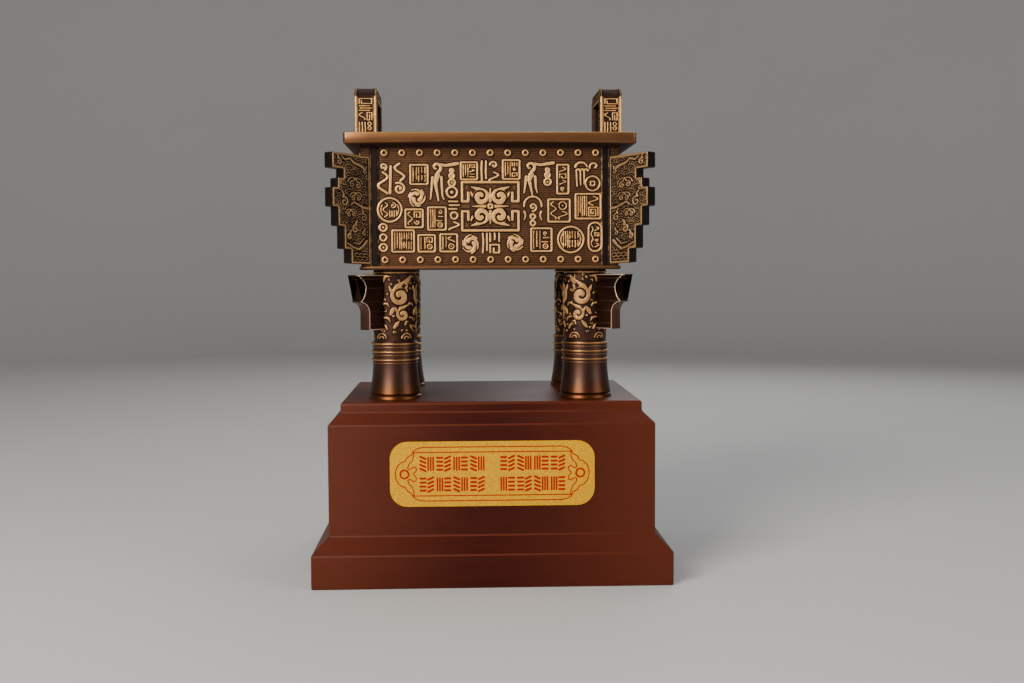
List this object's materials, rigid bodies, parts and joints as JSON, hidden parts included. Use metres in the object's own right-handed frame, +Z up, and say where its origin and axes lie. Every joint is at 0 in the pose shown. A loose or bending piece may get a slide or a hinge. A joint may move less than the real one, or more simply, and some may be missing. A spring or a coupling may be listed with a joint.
{
  "type": "rectangular ding vessel on plinth",
  "caption": "Rectangular bronze ding with stepped corner flanges, studs, relief seals, upright ears and an open hollow body, on round legs over a moulded wooden plinth with a name plate.",
  "frame": {"origin": "middle of the plinth's underside, on the surface the object stands on", "axes": "+Z up, +X along the long side, to the right as seen from the front, and the front, with the name plate, faces -Y"},
  "size_m": [0.287, 0.229, 0.4035],
  "materials": {
    "bronze": "cast bronze, dark brown patina in the recesses, brushed golden on the raised edges",
    "lacquered_wood": "satin red-brown lacquer",
    "gilt_plate": "fine-grained gold with red print"
  },
  "bodies": {
    "root": {"ding": "bronze", "plinth": "lacquered_wood", "name_plate": "gilt_plate"}
  },
  "joints": []
}
